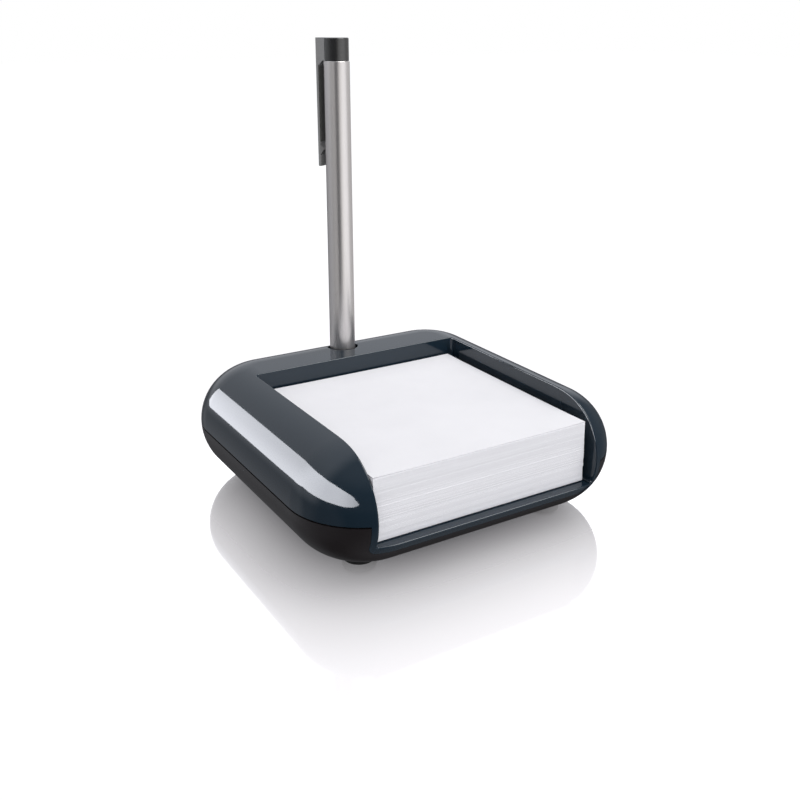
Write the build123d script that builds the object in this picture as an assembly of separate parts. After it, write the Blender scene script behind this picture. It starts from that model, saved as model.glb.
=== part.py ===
from build123d import *
import math
import os

# Desk note tray with an upright pen: a cushion-shaped holder of two mouldings on rubber feet, a stack
# of loose notes in a well that is open at the front, and a twist-action ballpoint in a socket behind.
# Millimetres, +Z up, the notes come out towards -Y. The origin is on the desk, under the middle.

# Notes
note_width = 90.0
note_depth = 90.0
stack_height = 24.2
sheet_thickness = 0.1
side_slack = 0.5
back_slack = 0.2

# Holder, a cushion whose top and bottom edges are full quarter rounds that meet at the parting
front_lip = 6.1
side_shoulder = 19.5
back_shoulder = 35.7
upper_radius = 22.4
lower_radius = 22.0
rim_corner_radius = 5.8
skin = 2.5
foot_height = 2.0

# Parting: a shadow gap, with a tongue of the base inside the edge of the top
parting_gap = 0.6
tongue_height = 2.6
tongue_thickness = 0.9
tongue_play = 0.15

# Tray, moulded in one with the top
tray_rise = 13.2
tray_wall = 2.4
tray_floor = 3.0
tray_joint_play = 0.1
well_fillet = 1.0
well_corner_step = 0.5
rim_fillet = 0.45

# Feet, and the screws above them
foot_radius = 6.0
foot_setback = 24.4
foot_recess = 0.8
foot_play = 0.1
foot_edge_bevel = 0.35
screw_radius = 1.5
screw_length = 8.2
screw_head_radius = 2.8
screw_head_height = 2.0
screw_play = 0.2
thread_play = 0.03
post_radius = 3.6
post_drop = 3.2
boss_radius = 4.8

# Pen socket
pen_place_share = 0.412
socket_depth = 18.6
hole_play = 1.1
hole_fillet = 0.4
sleeve_wall = 1.6
sleeve_top_play = 0.1
seat_play = 0.1
throat_radius = 2.4
sleeve_flange_radius = 7.0
sleeve_flange = 1.6
ring_wall = 1.5
ring_height = 3.0
ring_play = 0.1

# Pen outside
pen_length = 142.0
nose_length = 15.0
nose_end_radius = 1.9
barrel_base_radius = 5.35
barrel_top_radius = 5.05
barrel_bore_radius = 4.2
barrel_edge_bevel = 0.2
spigot_length = 6.0
press_play = 0.03
cap_height = 8.3
cap_radius = 4.78
cap_gap = 0.1
cap_edge_bevel = 0.25

# Clip: a plate that stands off the barrel on a bridge set into the cap
clip_turn = 121.5
clip_length = 48.3
clip_width = 4.2
clip_thickness = 1.0
clip_reach = 8.05
clip_root_radius = 2.6
clip_fit = 0.04
clip_haunch = 1.8
clip_bump_rise = 6.6
clip_bump_half = 2.2
clip_bump_gap = 0.5
clip_end_fillet = 0.5

# Refill and its spring
refill_headroom = 41.8
refill_radius = 2.9
retraction = 2.2
point_length = 24.0
stem_radius = 1.15
tip_radius = 0.5
tip_cone = 4.0
refill_play = 0.3
stem_play = 0.3
spring_seat = 9.0
spring_wire_radius = 0.25
spring_radius = 2.2
spring_turns = 7
spring_wire_sides = 6
spring_end_play = 0.05

# Twist works
stroke = 5.5
twist = 180
running_play = 0.08
plunger_radius = 2.25
plunger_length = 17.0
pin_radius = 0.55
pin_drop = 2.5
pin_play = 0.2
pin_end_play = 0.15
cam_wall = 1.0
cam_tail = 3.0
cam_length = 18.0
cam_plug = 5.5
guide_tail = 1.0

# Every cut runs past its piece by the overrun, and edges closer than the touch lie on a surface
overrun = 4.0
touch = 0.01

# Heights above the desk, and the plan of the holder
body_bottom = foot_height
parting = body_bottom + lower_radius
body_top = parting + upper_radius
tray_top = body_bottom + tray_rise
tray_underside = tray_top - tray_floor
side_play = well_fillet + side_slack
back_play = well_fillet + back_slack
well_width = note_width + 2 * side_play
body_width = well_width + 2 * side_shoulder
body_depth = front_lip + note_depth + back_play + back_shoulder
corner_radius = rim_corner_radius + max(upper_radius, lower_radius)
front = -body_depth / 2
well_back = front + front_lip + note_depth + back_play
pen_y = well_back + pen_place_share * back_shoulder
foot_x = body_width / 2 - foot_setback
foot_y = body_depth / 2 - foot_setback
boss_top = tray_underside - post_drop
head_seat = body_bottom + foot_recess + screw_head_height + screw_play
shank_end = head_seat + screw_length

# Heights and radii of the pen
pen_seat = body_top - socket_depth
nose_top = pen_seat + nose_length
pen_top = pen_seat + pen_length
cap_bottom = pen_top - cap_height
barrel_top = cap_bottom - cap_gap
point_end = pen_seat + retraction
tube_bottom = point_end + point_length
tube_top = pen_top - refill_headroom
spring_bottom = pen_seat + spring_seat
plunger_top = tube_top + plunger_length
pin_height = plunger_top - pin_drop
pin_low = pin_height - stroke
cam_bottom = pin_low - cam_tail
cam_top = cam_bottom + cam_length
cam_bore_radius = plunger_radius + running_play
cam_radius = cam_bore_radius + cam_wall
guide_bore_radius = cam_radius + running_play
chamber_radius = refill_radius + refill_play
hole_radius = barrel_base_radius + hole_play


def plan(inset):
    """The holder's outline seen from above, pulled in by the inset."""
    return RectangleRounded(body_width - 2 * inset, body_depth - 2 * inset, corner_radius - inset)


def upper_cushion(inset):
    """The cushion above the parting, pulled in by the inset, with a straight skirt below it."""
    block = extrude(Pos(0, 0, parting - overrun) * plan(inset), overrun + upper_radius - inset)
    return fillet(block.faces().sort_by(Axis.Z)[-1].edges(), upper_radius - inset)


def lower_cushion(inset):
    """The cushion below the parting, pulled in by the inset, with a straight collar above it."""
    block = extrude(Pos(0, 0, parting + overrun) * plan(inset), -(overrun + lower_radius - inset))
    return fillet(block.faces().sort_by(Axis.Z)[0].edges(), lower_radius - inset)


def above(part, height):
    """What of a part lies over a height."""
    return split(part, Plane.XY.offset(height), keep=Keep.TOP)


def below(part, height):
    """What of a part lies under a height."""
    return split(part, Plane.XY.offset(height), keep=Keep.BOTTOM)


def cushion():
    """The whole outer form."""
    return above(upper_cushion(0), parting) + below(lower_cushion(0), parting)


def tray_form(margin, bottom):
    """The well grown by a margin at its sides and back: a trough with round corners, open at the front."""
    width = well_width + 2 * margin
    corner = well_fillet + well_corner_step + margin
    length = well_back + margin - front + overrun + corner
    outline = Pos(0, well_back + margin - length / 2, bottom) * RectangleRounded(width, length, corner)
    trough = extrude(outline, body_top + overrun - bottom)
    return fillet(trough.faces().sort_by(Axis.Z)[0].edges(), well_fillet + margin)


def at_feet(part):
    """A copy of a part over each foot, front left, front right, rear left and rear right."""
    return [Pos(x, y, 0) * part for y in (-foot_y, foot_y) for x in (-foot_x, foot_x)]


def round_bar(radius, bottom, top):
    """An upright cylinder between two heights."""
    return extrude(Pos(0, 0, bottom) * Circle(radius), top - bottom)


def turned(*outline):
    """A turned piece on the pen's axis, from its outline in radius and height."""
    profile = make_face(Polyline(*[(radius, 0, height) for radius, height in outline], close=True))
    return Pos(0, pen_y, 0) * revolve(profile, Axis.Z)


def at_clip(part):
    """A part drawn with the clip towards +X, turned to where the clip points and set on the pen."""
    return Pos(0, pen_y, 0) * Rot(0, 0, clip_turn) * part


def soften(shell, opening, radius):
    """The shell with a round on the edge where an opening comes out through the cushion's surface."""
    inside = opening.shells()[0]
    outside = cushion().shells()[0]
    rim = [
        edge
        for edge in shell.edges()
        if max(inside.distance_to(edge @ 0.5), outside.distance_to(edge @ 0.5)) < touch
    ]
    return fillet(rim, radius)


def top_shell():
    """Upper moulding: the hollow lid, the tray hung in it, the screw posts and the pen hole."""
    lid = above(upper_cushion(0) - upper_cushion(skin), parting + parting_gap / 2)
    groove_top = parting + parting_gap / 2 + tongue_height + tongue_play
    lid -= below(upper_cushion(skin / 2), groove_top)
    shell = lid + (tray_form(tray_wall, tray_underside) & cushion())
    for post in at_feet(round_bar(post_radius, boss_top, tray_underside + tray_floor / 2))[:2]:
        shell += post
    for post in at_feet(round_bar(post_radius, boss_top, body_top - skin / 2))[2:]:
        shell += post
    for pilot in at_feet(round_bar(screw_radius + thread_play, boss_top, shank_end + screw_play)):
        shell -= pilot
    well = tray_form(0, tray_top)
    pen_hole = Pos(0, pen_y, 0) * round_bar(hole_radius, parting, body_top + overrun)
    shell -= well
    shell -= pen_hole
    return soften(soften(shell, well, rim_fillet), pen_hole, hole_fillet)


def base_shell():
    """Lower moulding: a bowl with the tongue, screw bosses and the ring that holds the pen socket."""
    rim = parting - parting_gap / 2
    bowl = below(lower_cushion(0) - lower_cushion(skin), rim)
    tongue_inset = skin / 2 + tongue_play
    tongue = upper_cushion(tongue_inset) - upper_cushion(tongue_inset + tongue_thickness)
    bowl += below(above(tongue, rim), parting + parting_gap / 2 + tongue_height)
    for boss in at_feet(round_bar(boss_radius, body_bottom + skin / 2, boss_top)):
        bowl += boss
    ring_radius = sleeve_flange_radius + ring_play
    floor = body_bottom + skin
    ring = round_bar(ring_radius + ring_wall, floor - skin / 2, floor + ring_height)
    ring -= round_bar(ring_radius, floor - skin, floor + ring_height + overrun)
    bowl += (Pos(0, pen_y, 0) * ring) & lower_cushion(skin / 2)
    bowl -= tray_form(tray_wall + tray_joint_play, tray_underside - tray_joint_play)
    holes = round_bar(foot_radius + foot_play, body_bottom - overrun, body_bottom + foot_recess)
    holes += round_bar(screw_head_radius + screw_play, body_bottom, head_seat)
    holes += round_bar(screw_radius + screw_play, body_bottom, boss_top + overrun)
    for hole in at_feet(holes):
        bowl -= hole
    return bowl


def pen_sleeve():
    """Black funnel that takes the pen: a wide mouth, a cone for the nose and a throat for the point."""
    slope = (barrel_base_radius - nose_end_radius) / nose_length
    side_gap = seat_play * math.sqrt(1 + slope**2)
    floor = body_bottom + skin
    cone_top = pen_seat + (hole_radius - nose_end_radius - side_gap) / slope
    cone_end = pen_seat + (throat_radius - nose_end_radius - side_gap) / slope
    neck_radius = throat_radius + sleeve_wall
    outer_radius = hole_radius + sleeve_wall
    funnel = turned(
        (hole_radius, body_top),
        (hole_radius, cone_top),
        (throat_radius, cone_end),
        (throat_radius, floor),
        (sleeve_flange_radius, floor),
        (sleeve_flange_radius, floor + sleeve_flange),
        (neck_radius, floor + sleeve_flange),
        (neck_radius, cone_end - sleeve_wall),
        (outer_radius, cone_top - sleeve_wall),
        (outer_radius, body_top),
    )
    return funnel & (upper_cushion(skin + sleeve_top_play) + below(lower_cushion(skin), parting))


def foot():
    """Rubber disc pressed into its recess."""
    disc = round_bar(foot_radius, 0, body_bottom + foot_recess)
    return chamfer(disc.edges().sort_by(Axis.Z)[0], foot_edge_bevel)


def screw():
    """Round-headed screw, driven up from below."""
    return round_bar(screw_head_radius, head_seat - screw_head_height, head_seat) + round_bar(
        screw_radius, head_seat, shank_end
    )


def sheets(bottom, top):
    """A block of notes between two heights, pushed over to the left of the well."""
    middle = well_back - back_play - note_depth / 2
    outline = Pos(-side_slack, middle, bottom) * Rectangle(note_width, note_depth)
    return extrude(outline, top - bottom)


def pen_barrel():
    """Steel tube, a little slimmer towards the cap."""
    tube = turned(
        (barrel_bore_radius, nose_top),
        (barrel_base_radius, nose_top),
        (barrel_top_radius, barrel_top),
        (barrel_bore_radius, barrel_top),
    )
    return chamfer(tube.edges().group_by(Axis.Z)[-1].sort_by(SortBy.RADIUS)[-1], barrel_edge_bevel)


def pen_nose():
    """Turned cone with a spigot for the barrel, bored for the spring, the refill and its point."""
    spigot = barrel_bore_radius - press_play
    return turned(
        (stem_radius + stem_play, pen_seat),
        (nose_end_radius, pen_seat),
        (barrel_base_radius, nose_top),
        (spigot, nose_top),
        (spigot, nose_top + spigot_length),
        (chamber_radius, nose_top + spigot_length),
        (chamber_radius, spring_bottom),
        (stem_radius + stem_play, spring_bottom),
    )


def clip_slot(fit):
    """The slot in the cap that the clip's root fills, drawn with the clip towards +X."""
    width = clip_width + 2 * fit
    outline = Pos((clip_root_radius - fit + clip_reach) / 2, 0, cap_bottom) * Rectangle(
        clip_reach - clip_root_radius + fit, width
    )
    return extrude(outline, cap_height + overrun)


def pen_cap():
    """Dark cap with the stem that turns the cam."""
    plug = cam_bore_radius - press_play
    cap = turned(
        (0, pen_top),
        (cap_radius, pen_top),
        (cap_radius, cap_bottom),
        (cam_radius, cap_bottom),
        (cam_radius, cam_top),
        (plug, cam_top),
        (plug, cam_top - cam_plug),
        (0, cam_top - cam_plug),
    )
    top_edge = cap.edges().group_by(Axis.Z)[-1].sort_by(SortBy.RADIUS)[-1]
    return chamfer(top_edge, cap_edge_bevel) - at_clip(clip_slot(clip_fit))


def pen_clip():
    """Pocket clip: root and bridge in the cap, a long plate, and a bump that grips the cloth."""
    inner = clip_reach - clip_thickness
    clip_bottom = pen_top - clip_length
    bump = clip_bottom + clip_bump_rise
    outline = Polyline(
        (clip_root_radius, pen_top),
        (clip_reach, pen_top),
        (clip_reach, clip_bottom),
        (inner, clip_bottom),
        (inner, bump - clip_bump_half),
        (barrel_top_radius + clip_bump_gap, bump),
        (inner, bump + clip_bump_half),
        (inner, cap_bottom - clip_haunch),
        (barrel_top_radius + cap_gap, cap_bottom),
        (clip_root_radius, cap_bottom),
        close=True,
    )
    plate = extrude(Plane.XZ * make_face(outline), clip_width / 2, both=True)
    corners = plate.edges().filter_by(Axis.X).group_by(Axis.Z)[0]
    return at_clip(fillet(corners, clip_end_fillet))


def twist_cam():
    """Tube on the cap's stem whose helical slot drives the pin down as the cap turns."""
    tube = turned(
        (cam_bore_radius, cam_bottom),
        (cam_radius, cam_bottom),
        (cam_radius, cam_top),
        (cam_bore_radius, cam_top),
    )
    lead = stroke * 360 / twist
    middle = cam_bore_radius + cam_wall / 2
    room = pin_radius + pin_play
    end_angle = math.degrees(room / middle)
    end_rise = lead * end_angle / 360
    path = Rot(0, 0, -twist - end_angle) * Helix(lead, stroke + 2 * end_rise, middle)
    start = Plane(path @ 0, x_dir=Vector((path @ 0).X, (path @ 0).Y, 0), z_dir=path % 0)
    slot = sweep(start * Rectangle(cam_wall + 2 * room, 2 * room), path=path, is_frenet=True)
    return tube - at_clip(Pos(0, 0, pin_low - end_rise) * slot)


def cam_guide():
    """Bush fixed in the barrel whose straight slot keeps the plunger from turning."""
    outer_radius = barrel_bore_radius - press_play
    bush = turned(
        (guide_bore_radius, cam_bottom - guide_tail),
        (outer_radius, cam_bottom - guide_tail),
        (outer_radius, barrel_top),
        (guide_bore_radius, barrel_top),
    )
    room = pin_radius + pin_play
    slot = Pos(outer_radius, 0, pin_low - room) * Rectangle(2 * outer_radius, 2 * room)
    return bush - at_clip(extrude(slot, stroke + 2 * room))


def plunger():
    """Rod on the refill's end, with the cross pin that rides in both slots."""
    rod = turned(
        (0, tube_top),
        (plunger_radius, tube_top),
        (plunger_radius, plunger_top),
        (0, plunger_top),
    )
    pin = extrude(Plane.YZ * Circle(pin_radius), barrel_bore_radius - pin_end_play)
    return rod + at_clip(Pos(0, 0, pin_height) * pin)


def refill_tube():
    """Ink tube."""
    return turned(
        (0, tube_bottom), (refill_radius, tube_bottom), (refill_radius, tube_top), (0, tube_top)
    )


def refill_point():
    """Stem with the writing point."""
    return turned(
        (0, point_end),
        (tip_radius, point_end),
        (stem_radius, point_end + tip_cone),
        (stem_radius, tube_bottom),
        (0, tube_bottom),
    )


def on_coil(turn):
    """A point on the spring's helix and the direction there, after so many turns."""
    rise = (tube_bottom - spring_bottom - 2 * (spring_wire_radius + spring_end_play)) / spring_turns
    angle = 2 * math.pi * turn
    around = 2 * math.pi * spring_radius
    bottom = spring_bottom + spring_wire_radius + spring_end_play
    place = Vector(spring_radius * math.cos(angle), spring_radius * math.sin(angle), bottom + rise * turn)
    return place, Vector(-around * math.sin(angle), around * math.cos(angle), rise).normalized()


def biarc(begin, end):
    """Two arcs between places on the helix that share a tangent where they meet."""
    (p0, t0), (p1, t1) = begin, end
    chord = p1 - p0
    along = chord.dot(t0 + t1)
    spread = 2 * (1 - t0.dot(t1))
    reach = (math.sqrt(along**2 + spread * chord.dot(chord)) - along) / spread
    meet = (p0 + p1 + (t0 - t1) * reach) * 0.5
    first = Edge.make_tangent_arc(p0, t0, meet)
    return [first, Edge.make_tangent_arc(meet, first % 1, p1)]


def return_spring():
    """Wire spring between the nose and the refill, one unbroken coil of half-turn biarcs."""
    halves = [on_coil(half / 2) for half in range(2 * spring_turns + 1)]
    path = Wire([arc for begin, end in zip(halves, halves[1:]) for arc in biarc(begin, end)])
    section = Plane(path @ 0, z_dir=path % 0) * RegularPolygon(spring_wire_radius, spring_wire_sides)
    wire = sweep(section, path=path)
    rise = on_coil(1)[0].Z - on_coil(0)[0].Z
    print("spring gap between turns", round(rise - 2 * spring_wire_radius, 3))
    return Pos(0, pen_y, 0) * wire


parts = {
    "top_shell": top_shell(),
    "base_shell": base_shell(),
    "pen_sleeve": pen_sleeve(),
    "shell_screws": Compound(children=at_feet(screw())),
    "note_stack": sheets(tray_top, tray_top + stack_height - sheet_thickness),
    "top_note": sheets(tray_top + stack_height - sheet_thickness, tray_top + stack_height),
    "pen_barrel": pen_barrel(),
    "pen_nose": pen_nose(),
    "pen_cap": pen_cap(),
    "pen_clip": pen_clip(),
    "twist_cam": twist_cam(),
    "cam_guide": cam_guide(),
    "plunger": plunger(),
    "refill_tube": refill_tube(),
    "refill_point": refill_point(),
    "return_spring": return_spring(),
}
foot_names = ("foot_front_left", "foot_front_right", "foot_rear_left", "foot_rear_right")
parts.update(zip(foot_names, at_feet(foot())))

os.makedirs("parts", exist_ok=True)
for name, part in parts.items():
    export_step(part, f"parts/{name}.step")
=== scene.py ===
import bpy
import math
import random
from mathutils import Euler, Matrix, Vector


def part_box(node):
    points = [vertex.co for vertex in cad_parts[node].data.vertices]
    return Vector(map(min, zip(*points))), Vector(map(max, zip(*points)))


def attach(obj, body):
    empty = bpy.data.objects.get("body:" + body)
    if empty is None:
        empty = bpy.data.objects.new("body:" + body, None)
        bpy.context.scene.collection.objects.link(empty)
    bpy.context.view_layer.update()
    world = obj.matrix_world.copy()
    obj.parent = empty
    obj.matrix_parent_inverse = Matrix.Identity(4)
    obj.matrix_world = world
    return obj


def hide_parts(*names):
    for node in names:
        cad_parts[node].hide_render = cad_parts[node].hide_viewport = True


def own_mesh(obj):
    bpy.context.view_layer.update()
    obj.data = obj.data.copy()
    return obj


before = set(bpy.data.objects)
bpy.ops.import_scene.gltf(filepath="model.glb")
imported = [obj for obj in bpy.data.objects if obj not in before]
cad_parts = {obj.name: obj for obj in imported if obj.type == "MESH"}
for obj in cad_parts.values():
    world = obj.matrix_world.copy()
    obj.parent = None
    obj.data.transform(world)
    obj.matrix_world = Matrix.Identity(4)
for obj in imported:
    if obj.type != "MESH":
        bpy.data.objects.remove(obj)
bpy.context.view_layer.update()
bpy.ops.object.select_all(action="DESELECT")

# Base: the lower half of the cushion, a shallow bowl injection moulded in black plastic.
# Its outside keeps the mould's fine spark grain, so it shines less than the top half.


class Paint:
    """One socket of a node tree; sums and products of sockets and numbers add Math nodes."""

    def __init__(self, tree, socket=None):
        self.tree = tree
        self.socket = socket

    def node(self, kind, settings=None, sockets=None, out=0):
        """Adds a node: its settings are made first, then its sockets get values or links."""
        made = self.tree.nodes.new(kind)
        for name, value in (settings or {}).items():
            setattr(made, name, value)
        for name, value in (sockets or {}).items():
            if isinstance(value, Paint):
                self.tree.links.new(value.socket, made.inputs[name])
            else:
                made.inputs[name].default_value = value
        return Paint(self.tree, None if out is None else made.outputs[out])

    def maths(self, operation, first, second):
        """A Math node on two sockets or numbers."""
        return self.node("ShaderNodeMath", {"operation": operation}, {0: first, 1: second})

    def light_path(self, question):
        """What the Light Path node says of the ray that is being followed."""
        return self.node("ShaderNodeLightPath", out=question)

    def along(self, axis):
        """One coordinate of a place."""
        return self.node("ShaderNodeSeparateXYZ", None, {0: self}, axis)

    def __add__(self, other):
        return self.maths("ADD", self, other)

    def __radd__(self, other):
        return self.maths("ADD", other, self)

    def __sub__(self, other):
        return self.maths("SUBTRACT", self, other)

    def __rsub__(self, other):
        return self.maths("SUBTRACT", other, self)

    def __mul__(self, other):
        return self.maths("MULTIPLY", self, other)

    def __rmul__(self, other):
        return self.maths("MULTIPLY", other, self)


def new_finish(name):
    """A material with its Principled shader, and the piece's Object coordinates in metres."""
    material = bpy.data.materials.new(name)
    material.use_nodes = True
    shader = material.node_tree.nodes["Principled BSDF"]
    place = Paint(material.node_tree).node("ShaderNodeTexCoord", out="Object")
    return material, shader, place


def feed(shader, **sockets):
    """Sets or links sockets of a shader."""
    for name, value in sockets.items():
        target = shader.inputs[name.replace("_", " ")]
        if isinstance(value, Paint):
            shader.id_data.links.new(value.socket, target)
        else:
            target.default_value = value


def noise(place, scale, detail=2.0):
    """Even noise from 0 to 1, so many cells to a metre."""
    return place.node("ShaderNodeTexNoise", None, {"Vector": place, "Scale": scale, "Detail": detail}, "Fac")


def mixed(place, share, first, second):
    """Two colours mixed by a share."""
    return place.node("ShaderNodeMix", {"data_type": "RGBA"}, {0: share, 6: first, 7: second}, 2)


def mottled(place, scale, dark, light):
    """A colour that drifts between two shades, in so many patches to a metre."""
    return mixed(place, noise(place, scale), dark, light)


def bumped(place, height, depth, strength=1.0):
    """A normal from a height of 0 to 1 that stands for so many metres."""
    sockets = {"Strength": strength, "Distance": depth, "Height": height}
    return place.node("ShaderNodeBump", None, sockets, "Normal")


def finish_nodes(material, *names):
    """Gives CAD nodes a material."""
    for name in names:
        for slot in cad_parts[name].material_slots:
            slot.material = material


base_plastic, shader, place = new_finish("base_plastic")
grain = noise(place, scale=3500.0, detail=3.0)
feed(
    shader,
    Base_Color=mottled(place, 60.0, dark=(0.0125, 0.0098, 0.0104, 1.0), light=(0.0165, 0.0132, 0.0138, 1.0)),
    Roughness=0.30 + 0.10 * grain,
    Normal=bumped(place, grain, depth=0.00002, strength=0.6),
    IOR=1.5,
)
finish_nodes(base_plastic, "base_shell")

# Feet: four rubber discs pressed into recesses under the base, over the screws.
# Moulded in black rubber, dull and a little dusty.
foot_rubber, shader, place = new_finish("foot_rubber")
grain = noise(place, scale=2500.0, detail=4.0)
feed(
    shader,
    Base_Color=mottled(place, 300.0, dark=(0.010, 0.010, 0.010, 1.0), light=(0.020, 0.020, 0.019, 1.0)),
    Roughness=0.72 + 0.15 * grain,
    Normal=bumped(place, grain, depth=0.00004),
)
finish_nodes(foot_rubber, "foot_front_left", "foot_front_right", "foot_rear_left", "foot_rear_right")

# Screws: four round-headed steel screws, zinc plated, driven up from below through the base.
# They draw the base up to the posts of the top, and the feet hide their heads.
screw_steel, shader, place = new_finish("screw_steel")
feed(
    shader,
    Base_Color=mottled(place, 900.0, dark=(0.50, 0.50, 0.49, 1.0), light=(0.60, 0.60, 0.58, 1.0)),
    Metallic=1.0,
    Roughness=0.28 + 0.15 * noise(place, scale=3000.0),
)
finish_nodes(screw_steel, "shell_screws")

# Pen socket: a funnel moulded in matt black plastic, which the pen stands in.
# Its flange sits in a ring of the base, and it ends just under the hole in the top.
sleeve_plastic, shader, place = new_finish("sleeve_plastic")
grain = noise(place, scale=4000.0)
feed(
    shader,
    Base_Color=mottled(place, 200.0, dark=(0.007, 0.007, 0.007, 1.0), light=(0.012, 0.012, 0.012, 1.0)),
    Roughness=0.5 + 0.12 * grain,
    Normal=bumped(place, grain, depth=0.00002, strength=0.5),
)
finish_nodes(sleeve_plastic, "pen_sleeve")

# Top: the upper half of the cushion with the note well in it, moulded in dark blue-grey plastic.
# The mould was polished, so it has a high gloss with only a trace of ripple.
top_gloss, shader, place = new_finish("top_gloss")
ripple = noise(place, scale=45.0, detail=1.0)
feed(
    shader,
    Base_Color=mottled(place, 25.0, dark=(0.0105, 0.0205, 0.0310, 1.0), light=(0.0120, 0.0230, 0.0340, 1.0)),
    Roughness=0.045 + 0.02 * noise(place, scale=90.0),
    Normal=bumped(place, ripple, depth=0.00002, strength=0.2),
    IOR=1.5,
)
finish_nodes(top_gloss, "top_shell")

# Note stack: some 240 loose sheets of uncoated white paper, cut square in one go.
# They lie in the well by their own weight, and packets of a few sheets have slid a little out of line.
# Its colour is painted black in reflections that run past the lip, a painted dark reflection, so the table
# mirrors the stack dark while the lip close in front of it shows it white.


def paper_finish(name):
    """Paper with fibres and sheet edges; also its shader, its coordinates and its white."""
    material, shader, place = new_finish(name)
    fibre = noise(place, scale=1800.0, detail=5.0)
    layers = place.node("ShaderNodeMapping", None, {"Vector": place, "Scale": (0.02, 0.02, 1.0)})
    sheet_lines = noise(layers, scale=5000.0, detail=3.0)
    streaks = 0.2 * fibre + 0.3 * sheet_lines + 0.5 * noise(layers, scale=1400.0)
    white = mixed(place, streaks, (0.816, 0.802, 0.812, 1.0), (0.956, 0.942, 0.949, 1.0))
    feed(
        shader,
        Base_Color=white,
        Roughness=0.75 + 0.15 * fibre,
        Normal=bumped(place, 0.6 * fibre + 0.4 * sheet_lines, depth=0.00003, strength=0.5),
    )
    return material, shader, place, white


lip_reach = 0.030
painted_reflection_darkening = 0.95
stack_paper, shader, place, white = paper_finish("stack_paper")
beyond_lip = place.maths("GREATER_THAN", place.light_path("Ray Length"), lip_reach)
mirrored = beyond_lip * place.light_path("Is Glossy Ray")
# Painted reflection: in glossy rays that have run past the lip, the paper's colour is painted black.
feed(shader, Base_Color=mixed(place, painted_reflection_darkening * mirrored, white, (0.0, 0.0, 0.0, 1.0)))

note_low, note_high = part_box("note_stack")
note_middle = (note_low + note_high) / 2
note_size = note_high - note_low
packet_count = 54
packet_edge = 0.00002
packet_slip = 0.00003
group_slip = 0.00014
group_chance = 0.22
group_ease = 0.75
stack_lean = 0.00080
bottom_inset = 0.0007
random.seed(11)


def slid(reach):
    """A slide in the plane of the sheets, drawn at random within a reach each way."""
    return Vector((random.uniform(-reach, reach), random.uniform(-reach, reach), 0.0))


packet_height = note_size.z / packet_count
bpy.ops.mesh.primitive_plane_add(size=1.0, location=(note_middle.x, note_middle.y, note_low.z))
packet = bpy.context.object
packet.scale = (note_size.x - 2 * group_slip, note_size.y - 2 * group_slip, 1.0)
bpy.ops.object.transform_apply(location=True, rotation=False, scale=True)
bpy.ops.object.mode_set(mode="EDIT")
bpy.ops.mesh.extrude_region_move(TRANSFORM_OT_translate={"value": (0.0, 0.0, packet_height)})
bpy.ops.mesh.select_all(action="SELECT")
bpy.ops.mesh.normals_make_consistent(inside=False)
bpy.ops.mesh.bevel(offset=packet_edge, segments=1)
bpy.ops.object.mode_set(mode="OBJECT")
packets = [packet]
group = Vector((0.0, 0.0, 0.0))
for layer in range(1, packet_count):
    if random.random() < group_chance:
        group = slid(group_slip) * group_ease
    slip = slid(packet_slip)
    lean = Vector((-stack_lean * layer / packet_count, 0.0, layer * packet_height))
    copy = packet.copy()
    copy.data = packet.data.copy()
    copy.data.transform(Matrix.Translation(group + slip + lean))
    bpy.context.scene.collection.objects.link(copy)
    packets.append(copy)
for vertex in packet.data.vertices:
    vertex.co.x += math.copysign(bottom_inset, note_middle.x - vertex.co.x)
    vertex.co.y += math.copysign(bottom_inset, note_middle.y - vertex.co.y)
bpy.ops.object.select_all(action="DESELECT")
for part in packets:
    part.select_set(True)
bpy.context.view_layer.objects.active = packet
bpy.ops.object.join()
packet.name = "note_sheets"
packet.data.materials.append(stack_paper)
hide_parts("note_stack")
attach(packet, "notes")
bpy.ops.object.select_all(action="DESELECT")

# Top note: the next sheet to be taken, the same paper, loose on the stack.
# Its corners have curled up by a fraction of a millimetre.
note_paper = paper_finish("note_paper")[0]
sheet_low, sheet_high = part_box("top_note")
sheet_middle = (sheet_low + sheet_high) / 2
sheet_size = sheet_high - sheet_low
sheet_cuts = 24
corner_curl = 0.00022
curl_power = 4
bpy.ops.mesh.primitive_plane_add(
    size=1.0, location=(sheet_middle.x - stack_lean, sheet_middle.y, sheet_low.z)
)
sheet = bpy.context.object
sheet.name = "top_sheet"
sheet.scale = (sheet_size.x - 2 * group_slip, sheet_size.y - 2 * group_slip, 1.0)
bpy.ops.object.transform_apply(location=True, rotation=False, scale=True)
bpy.ops.object.mode_set(mode="EDIT")
bpy.ops.mesh.subdivide(number_cuts=sheet_cuts)
bpy.ops.object.mode_set(mode="OBJECT")
for vertex in sheet.data.vertices:
    across = abs(vertex.co.x + stack_lean - sheet_middle.x) / sheet_size.x * 2
    along = abs(vertex.co.y - sheet_middle.y) / sheet_size.y * 2
    vertex.co.z += corner_curl * (across * along) ** curl_power
thickness = sheet.modifiers.new("thickness", "SOLIDIFY")
thickness.thickness = sheet_size.z
thickness.offset = 1.0
bpy.ops.object.modifier_apply(modifier="thickness")
sheet.data.materials.append(note_paper)
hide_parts("top_note")
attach(sheet, "loose_note")
bpy.ops.object.select_all(action="DESELECT")

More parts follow.
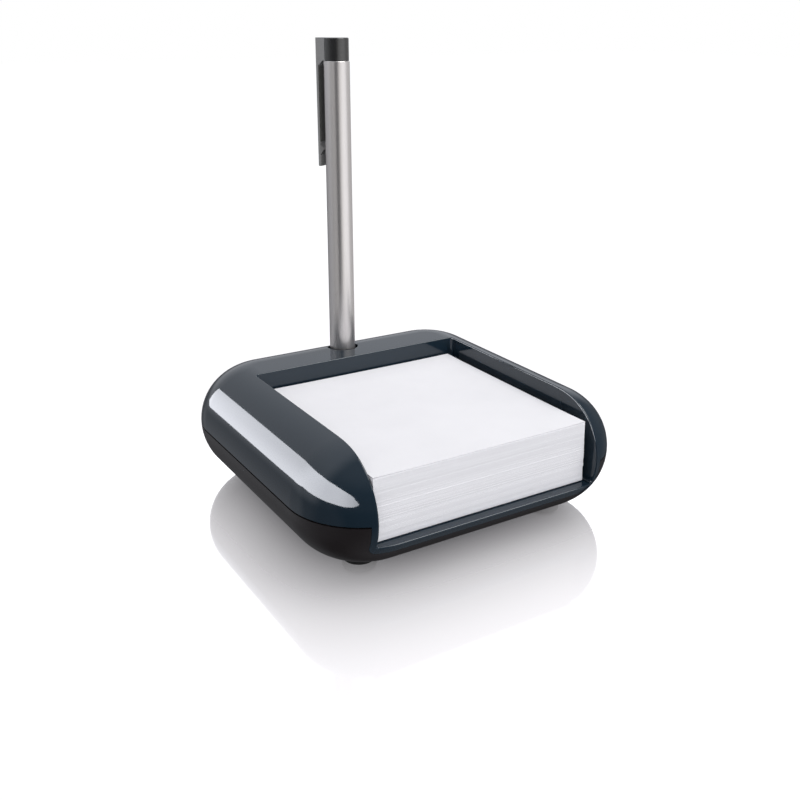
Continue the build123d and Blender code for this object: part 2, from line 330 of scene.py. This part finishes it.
# Works of the pen: cam, guide and plunger moulded in natural acetal, which push the refill out.
# The refill is a drawn metal tube with a turned brass point, and it slides inside the barrel.
works_plastic, shader, place = new_finish("works_plastic")
feed(
    shader,
    Base_Color=mottled(place, 400.0, dark=(0.58, 0.58, 0.56, 1.0), light=(0.66, 0.66, 0.64, 1.0)),
    Roughness=0.42 + 0.1 * noise(place, scale=2500.0),
)
finish_nodes(works_plastic, "twist_cam", "cam_guide", "plunger")
refill_metal, shader, place = new_finish("refill_metal")
feed(
    shader,
    Base_Color=mottled(place, 700.0, dark=(0.56, 0.56, 0.55, 1.0), light=(0.64, 0.64, 0.63, 1.0)),
    Metallic=1.0,
    Roughness=0.25 + 0.12 * noise(place, scale=2500.0),
)
finish_nodes(refill_metal, "refill_tube")
point_brass, shader, place = new_finish("point_brass")
feed(
    shader,
    Base_Color=mottled(place, 900.0, dark=(0.55, 0.40, 0.16, 1.0), light=(0.66, 0.50, 0.24, 1.0)),
    Metallic=1.0,
    Roughness=0.22 + 0.12 * noise(place, scale=2500.0),
)
finish_nodes(point_brass, "refill_point")

# Return spring: seven turns of steel wire, cold wound, round the stem of the refill.
# It stands on a shoulder in the nose, and the refill tube presses it shorter as the point comes out.
spring_low, spring_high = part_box("return_spring")
spring_middle = (spring_low + spring_high) / 2
spring_length = spring_high.z - spring_low.z
spring_turns = 7
wire_radius = 0.00025
wire_sides = 10
steps_in_turn = 28
coil_radius = (spring_high.x - spring_low.x) / 2 - wire_radius
bpy.ops.mesh.primitive_circle_add(
    vertices=wire_sides,
    radius=wire_radius,
    location=(coil_radius, 0.0, 0.0),
    rotation=(math.pi / 2, 0.0, 0.0),
)
spring = bpy.context.object
spring.name = "spring_coil"
bpy.ops.object.transform_apply(location=True, rotation=True, scale=True)
coil = spring.modifiers.new("coil", "SCREW")
coil.axis = "Z"
coil.screw_offset = (spring_length - 2 * wire_radius) / spring_turns
coil.iterations = spring_turns
coil.steps = steps_in_turn
coil.render_steps = steps_in_turn
bpy.ops.object.modifier_apply(modifier="coil")
bpy.ops.object.mode_set(mode="EDIT")
bpy.ops.mesh.select_all(action="SELECT")
bpy.ops.mesh.fill_holes(sides=wire_sides)
bpy.ops.mesh.select_all(action="SELECT")
bpy.ops.mesh.normals_make_consistent(inside=False)
bpy.ops.object.mode_set(mode="OBJECT")
spring.data.transform(Matrix.Translation((spring_middle.x, spring_middle.y, spring_low.z + wire_radius)))
spring.data.materials.append(screw_steel)
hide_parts("return_spring")
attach(spring, "pen")
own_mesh(spring)
bpy.ops.object.select_all(action="DESELECT")

# Barrel and nose: a drawn steel tube and a turned steel cone, both brushed lengthwise.
# The nose is pushed into the lower end of the barrel, and stands out of sight in the socket.
pen_steel, shader, place = new_finish("pen_steel")
strokes = place.node("ShaderNodeMapping", None, {"Vector": place, "Scale": (1.0, 1.0, 0.012)})
brushing = noise(strokes, scale=9000.0, detail=4.0)
feed(
    shader,
    Base_Color=mixed(place, brushing, (0.580, 0.555, 0.545, 1.0), (0.690, 0.665, 0.650, 1.0)),
    Metallic=0.85,
    Roughness=0.24 + 0.10 * brushing,
    Normal=bumped(place, brushing, depth=0.00001, strength=0.3),
)
finish_nodes(pen_steel, "pen_barrel", "pen_nose")

# Cap and clip: the cap is turned steel with dark plating, and twists on the barrel.
# The clip is a bent steel strip set into a slot of the cap. Its outer face, its foot and its root are
# painted lighter as a painted highlight, and the side towards the barrel is painted darker as painted shade.
pen_gunmetal, shader, place = new_finish("pen_gunmetal")
feed(
    shader,
    Base_Color=mottled(place, 1200.0, dark=(0.078, 0.078, 0.077, 1.0), light=(0.102, 0.102, 0.100, 1.0)),
    Metallic=0.8,
    Roughness=0.26 + 0.1 * noise(place, scale=3000.0),
)
finish_nodes(pen_gunmetal, "pen_cap")
clip_turn = math.radians(121.5)
clip_inner_reach = 0.00712
clip_foot_height = 0.0095
clip_foot_share = 0.6
clip_root_drop = 0.0015
barrel_low, barrel_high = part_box("pen_barrel")
pen_middle = (barrel_low + barrel_high) / 2
clip_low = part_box("pen_clip")[0]
clip_way = Vector((math.cos(clip_turn), math.sin(clip_turn), 0.0))
clip_steel, shader, place = new_finish("clip_steel")
outward = place.node("ShaderNodeVectorMath", {"operation": "DOT_PRODUCT"}, {0: place, 1: clip_way}, "Value")
outer_face = place.maths("GREATER_THAN", outward, pen_middle.dot(clip_way) + clip_inner_reach)
foot = place.maths("LESS_THAN", place.along("Z"), clip_low.z + clip_foot_height)
root = place.maths("GREATER_THAN", place.along("Z"), barrel_high.z - clip_root_drop)
# Painted highlight on the clip's outer face, foot and root, and painted shade on the rest.
painted_highlight_mask = place.maths("MAXIMUM", place.maths("MAXIMUM", outer_face, clip_foot_share * foot), root)
painted_shade_grey = mottled(place, 1200.0, dark=(0.10, 0.10, 0.095, 1.0), light=(0.14, 0.14, 0.13, 1.0))
painted_highlight_grey = mottled(place, 1200.0, dark=(0.36, 0.36, 0.36, 1.0), light=(0.44, 0.44, 0.44, 1.0))
feed(
    shader,
    Base_Color=mixed(place, painted_highlight_mask, painted_shade_grey, painted_highlight_grey),
    Metallic=1.0,
    Roughness=0.26 + 0.1 * noise(place, scale=3000.0),
)
finish_nodes(clip_steel, "pen_clip")

# Floor: a white table top that the object stands on, and no piece of it.
# It is polished, so it mirrors what is close to the object, and it pales to white away from it.
floor_side = 8.0
mirror_share = 0.95
mirror_middle = 0.003
mirror_near = 0.050
mirror_far = 0.145
mirror_fall = 2.6
mirror_haze = 0.06
white_at = 3 * mirror_far
bpy.ops.mesh.primitive_plane_add(size=floor_side)
floor = bpy.context.object
floor.name = "floor"
floor.visible_glossy = False


def fourth_power(value):
    """The fourth power of a value."""
    square = value * value
    return square * square


table_white, shader, place = new_finish("table_white")
rounded_square = fourth_power(place.along("X")) + fourth_power(place.along("Y") - mirror_middle)
distance = place.maths("POWER", rounded_square, 1 / 4)
whitening = place.node(
    "ShaderNodeMapRange", None, {"Value": distance, "From Min": mirror_far, "From Max": white_at}
)
table_glow = mixed(place, whitening, (0.81, 0.79, 0.81, 1.0), (0.87, 0.87, 0.87, 1.0))
seen = place.light_path("Is Camera Ray")
feed(
    shader,
    Base_Color=(0.25, 0.25, 0.25, 1.0),
    Roughness=0.6,
    Specular_IOR_Level=0.0,
    Emission_Color=mixed(place, seen, (0.30, 0.30, 0.30, 1.0), table_glow),
    Emission_Strength=1.0,
)
nearness = place.node(
    "ShaderNodeMapRange",
    None,
    {"Value": distance, "From Min": mirror_near, "From Max": mirror_far, "To Min": 1.0, "To Max": 0.0},
)
mirroring = seen * mirror_share * place.maths("POWER", nearness, mirror_fall)
mirror = place.node(
    "ShaderNodeBsdfAnisotropic", None, {"Color": (1.0, 1.0, 1.0, 1.0), "Roughness": mirror_haze}
)
plain = Paint(place.tree, shader.outputs[0])
polish = place.node("ShaderNodeMixShader", None, {0: mirroring, 1: plain, 2: mirror})
place.tree.links.new(polish.socket, place.tree.nodes["Material Output"].inputs["Surface"])
floor.data.materials.append(table_white)

# Window: the tall daylight opening to the left of the stage, which the top's round shoulder mirrors.
# It is a glowing card, as are the walls, the ceiling card and the dome after it.
# Each card shows only as a reflection, in the pieces that it is for.


def card(name, corners, faces, tint, glow, *pieces):
    """A glowing card of flat faces between its corners, that only these pieces mirror."""
    mesh = bpy.data.meshes.new(name)
    mesh.from_pydata(corners, [], faces)
    made = bpy.data.objects.new(name, mesh)
    bpy.context.scene.collection.objects.link(made)
    paint = bpy.data.materials.new(name)
    paint.use_nodes = True
    paint.node_tree.nodes.clear()
    spot = Paint(paint.node_tree).node("ShaderNodeTexCoord", out="Object")
    shine = spot.node("ShaderNodeVectorMath", {"operation": "SCALE"}, {0: tint, "Scale": glow(spot)})
    lit = spot.node("ShaderNodeEmission", None, {"Color": shine, "Strength": 1.0})
    clear = spot.node("ShaderNodeBsdfTransparent")
    both = spot.node("ShaderNodeAddShader", None, {0: lit, 1: clear})
    spot.node("ShaderNodeOutputMaterial", None, {"Surface": both}, None)
    mesh.materials.append(paint)
    mirrors = bpy.data.collections.new(name + "_mirrors")
    for piece in pieces:
        mirrors.objects.link(piece)
    made.light_linking.receiver_collection = mirrors
    made.visible_camera = False
    made.visible_diffuse = False
    made.visible_shadow = False


past_first_bounce = 1.5


def first_gloss(spot):
    """1 where a reflection shows the card itself, 0 where it shows the card in another reflection."""
    return spot.maths("LESS_THAN", spot.light_path("Glossy Depth"), past_first_bounce)


def shaded(spot, axis, *stops):
    """A value that runs smoothly through its stops, given as places in metres along an axis and values."""
    place_along = spot.along(axis)
    total = stops[0][1]
    for (begin, low), (end, high) in zip(stops, stops[1:]):
        step = spot.node(
            "ShaderNodeMapRange",
            {"interpolation_type": "SMOOTHSTEP"},
            {"Value": place_along, "From Min": begin, "From Max": end, "To Min": 0.0, "To Max": high - low},
        )
        total = step + total
    return total


def window_glow(spot):
    """Brightest across the middle of the window, less so towards its ends."""
    return first_gloss(spot) * shaded(
        spot, "Y", (-4.8, 8.6), (-1.2, 12.8), (1.0, 12.8), (4.8, 6.7), (7.0, 5.4)
    )


window_distance = 3.0
window_turn = math.radians(175.0)
window_sill = 0.037
# Corners of the window, sideways from its middle and up from its sill, in shares of its distance.
window_outline = [
    (-2.35, 0.03),
    (-1.20, 0.03),
    (-0.85, 0.09),
    (-0.50, 0.165),
    (0.90, 0.17),
    (1.25, 0.22),
    (1.55, 0.32),
    (1.78, 0.46),
    (1.62, 0.61),
    (1.35, 0.73),
    (1.00, 0.81),
    (-2.35, 0.81),
]
window_middle = Vector((math.cos(window_turn), math.sin(window_turn), 0.0)) * window_distance
window_along = Vector((-math.sin(window_turn), math.cos(window_turn), 0.0)) * window_distance
window_corners = []
for aside, rise in window_outline:
    window_rise = Vector((0.0, 0.0, window_sill + window_distance * rise))
    window_corners.append(window_middle + window_along * aside + window_rise)
card(
    "left_window",
    window_corners,
    [range(len(window_corners))],
    (0.93, 0.95, 1.02),
    window_glow,
    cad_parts["top_shell"],
)

# Walls: two bent white cards that stand round the pen, the right one wide and the left one narrow.
# They give the round steel of the pen its pale bands.
wall_radius = 0.55
wall_low = -0.3
wall_high = 0.5
wall_tint = (1.0, 0.99, 0.98)


def pen_wall(name, turns, glow, *pieces):
    """A bent card round the pen, from one bearing in degrees to the next, that only these pieces mirror."""
    angles = [math.radians(turn) for turn in turns]
    feet = [(wall_radius * math.cos(angle), wall_radius * math.sin(angle)) for angle in angles]
    corners = [(x, y, height) for height in (wall_low, wall_high) for x, y in feet]
    count = len(feet)
    faces = [(i, i + 1, count + i + 1, count + i) for i in range(count - 1)]
    card(name, corners, faces, wall_tint, glow, *[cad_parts[piece] for piece in pieces])


def right_wall_glow(spot):
    """Brightest at the front, and fading out where the wall ends on the left."""
    front_to_back = shaded(spot, "Y", (-0.55, 0.92), (-0.15, 0.50), (0.45, 0.34))
    return front_to_back * shaded(spot, "X", (-0.224, 0.2), (-0.06, 1.0))


def left_wall_glow(spot):
    """Brighter at the front than at the back."""
    return shaded(spot, "Y", (-0.42, 0.44), (0.25, 0.20))


right_wall_turns = range(-114, 67, 20)
left_wall_turns = range(150, 220, 23)
pen_wall("right_wall", right_wall_turns, right_wall_glow, "pen_barrel", "pen_cap")
pen_wall("left_wall", left_wall_turns, left_wall_glow, "pen_barrel", "pen_clip")

# Ceiling card: a level white panel over the right front of the stage, soft at its edges.
# The flat rim and the right shoulder of the top mirror it.
ceiling_left, ceiling_right = 0.20, 1.30
ceiling_front, ceiling_back = -1.50, 0.20
ceiling_height = 1.0
ceiling_strength = 2.5
side_fade = 0.25
back_fade = 0.45


def ceiling_glow(spot):
    """Even in the middle of the panel, and fading out to its four edges."""
    across = shaded(
        spot,
        "X",
        (ceiling_left, 0.0),
        (ceiling_left + side_fade, 1.0),
        (ceiling_right - side_fade, 1.0),
        (ceiling_right, 0.0),
    )
    deep = shaded(
        spot,
        "Y",
        (ceiling_front, 0.0),
        (ceiling_front + side_fade, 1.0),
        (ceiling_back - back_fade, 1.0),
        (ceiling_back, 0.0),
    )
    return ceiling_strength * first_gloss(spot) * across * deep


card(
    "ceiling_card",
    [
        (ceiling_left, ceiling_front, ceiling_height),
        (ceiling_right, ceiling_front, ceiling_height),
        (ceiling_right, ceiling_back, ceiling_height),
        (ceiling_left, ceiling_back, ceiling_height),
    ],
    [range(4)],
    (0.96, 0.98, 1.0),
    ceiling_glow,
    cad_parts["top_shell"],
)

# Dome: a white tent right round the stage, with slanting walls and a flat roof.
# Only the table mirrors it, so the table is white wherever it doesn't mirror the object.
dome_sides = 12
dome_radius = 5.0
dome_low = -0.5
dome_high = 4.0
roof_share = 0.6
dome_strength = 0.98
dome_turns = [2 * math.pi * side / dome_sides for side in range(dome_sides)]
dome_ring = [(dome_radius * math.cos(turn), dome_radius * math.sin(turn)) for turn in dome_turns]
dome_corners = [(x, y, dome_low) for x, y in dome_ring]
dome_corners += [(x * roof_share, y * roof_share, dome_high) for x, y in dome_ring]
dome_faces = [range(dome_sides, 2 * dome_sides)]
for side in range(dome_sides):
    after = (side + 1) % dome_sides
    dome_faces.append((side, after, dome_sides + after, dome_sides + side))
card("white_dome", dome_corners, dome_faces, (1.0, 1.0, 1.0), lambda spot: dome_strength, floor)

# Softbox: one square soft lamp over the right front of the stage, aimed at the object.
# It gives the notes their shade and the object its soft shadow.
softbox_place = Vector((0.50, -0.22, 1.16))
softbox_side = 0.8
softbox_watts = 8.0
lamp = bpy.data.lights.new("softbox", "AREA")
lamp.shape = "RECTANGLE"
lamp.size = softbox_side
lamp.size_y = softbox_side
lamp.energy = softbox_watts
softbox = bpy.data.objects.new("softbox", lamp)
softbox.location = softbox_place
softbox.rotation_euler = (-softbox_place).to_track_quat("-Z", "Y").to_euler()
bpy.context.scene.collection.objects.link(softbox)

# Room: the walls and ceiling round the stage, which the camera sees white.
# Reflections show them grey with pale patches, and white below where the table mirrors a reflection.
# All else is lit by an even fill that is stronger from the front.
world = bpy.data.worlds.new("studio")
world.use_nodes = True
bpy.context.scene.world = world
background = world.node_tree.nodes["Background"]
toward = Paint(world.node_tree).node("ShaderNodeTexCoord", out="Generated")


def lobe(azimuth, elevation, edge, core):
    """0 to 1 from the edge to the core of a patch of the room, each given as a cosine from its middle."""
    turn = math.radians(azimuth)
    rise = math.radians(elevation)
    middle = (math.cos(turn) * math.cos(rise), math.sin(turn) * math.cos(rise), math.sin(rise))
    sockets = {0: toward, 1: middle}
    cosine = toward.node("ShaderNodeVectorMath", {"operation": "DOT_PRODUCT"}, sockets, "Value")
    return toward.node(
        "ShaderNodeMapRange",
        {"interpolation_type": "SMOOTHSTEP"},
        {"Value": cosine, "From Min": edge, "From Max": core},
    )


wall_grey = 0.06
below_share = 0.2
below_white = 1.1
even_fill = 0.43
above = lobe(azimuth=0, elevation=90, edge=-0.12, core=0.12)
back_wall = 0.72 * lobe(azimuth=104, elevation=8, edge=0.15, core=0.50)
right_patch = 0.12 * lobe(azimuth=-10, elevation=0, edge=0.60, core=0.90)
left_patch = 0.12 * lobe(azimuth=175, elevation=-20, edge=0.70, core=0.90)
back_left_patch = 0.22 * lobe(azimuth=126, elevation=-12, edge=0.86, core=0.96)
overhead_patch = 0.30 * lobe(azimuth=0, elevation=90, edge=0.45, core=0.95)
front_patch = 0.45 * lobe(azimuth=-58, elevation=-18, edge=0.78, core=0.96)
low_front_patch = 0.17 * lobe(azimuth=-50, elevation=-58, edge=0.66, core=0.90)
room = (wall_grey + back_wall) * (below_share + (1 - below_share) * above)
room = room + right_patch + left_patch + back_left_patch
room = room + overhead_patch + front_patch + low_front_patch
in_second_mirror = toward.maths("GREATER_THAN", toward.light_path("Glossy Depth"), past_first_bounce)
room = room + in_second_mirror * (1 - above) * (below_white - room)
fill = even_fill + 0.88 * lobe(azimuth=-80, elevation=12, edge=0.30, core=0.90)
camera_ray = toward.light_path("Is Camera Ray")
glossy_ray = toward.light_path("Is Glossy Ray")
level = camera_ray + (1 - camera_ray) * (glossy_ray * room + (1 - glossy_ray) * fill)
sky = mixed(toward, camera_ray, (0.94, 0.96, 1.02, 1.0), (1.0, 1.0, 1.0, 1.0))
room_glow = toward.node("ShaderNodeVectorMath", {"operation": "SCALE"}, {0: sky, "Scale": level})
feed(background, Color=room_glow, Strength=1.0)

# Camera: placed, turned and zoomed as the photograph was taken.
# It stands at the left front, some 40 cm off, and looks down at the holder.
camera_place = (-0.184337, -0.301978, 0.176972)
camera_turns = (68.359, -0.115, -31.492)
sensor_width_mm = 36.0
focal_length_mm = 43.39
nearest_seen = 0.01
eye = bpy.data.cameras.new("camera")
eye.sensor_width = sensor_width_mm
eye.lens = focal_length_mm
eye.clip_start = nearest_seen
camera = bpy.data.objects.new("camera", eye)
camera_turn = Euler([math.radians(turn) for turn in camera_turns])
camera.matrix_world = Matrix.LocRotScale(camera_place, camera_turn, None)
bpy.context.scene.collection.objects.link(camera)
bpy.context.scene.camera = camera
bpy.context.scene.view_settings.view_transform = "Standard"
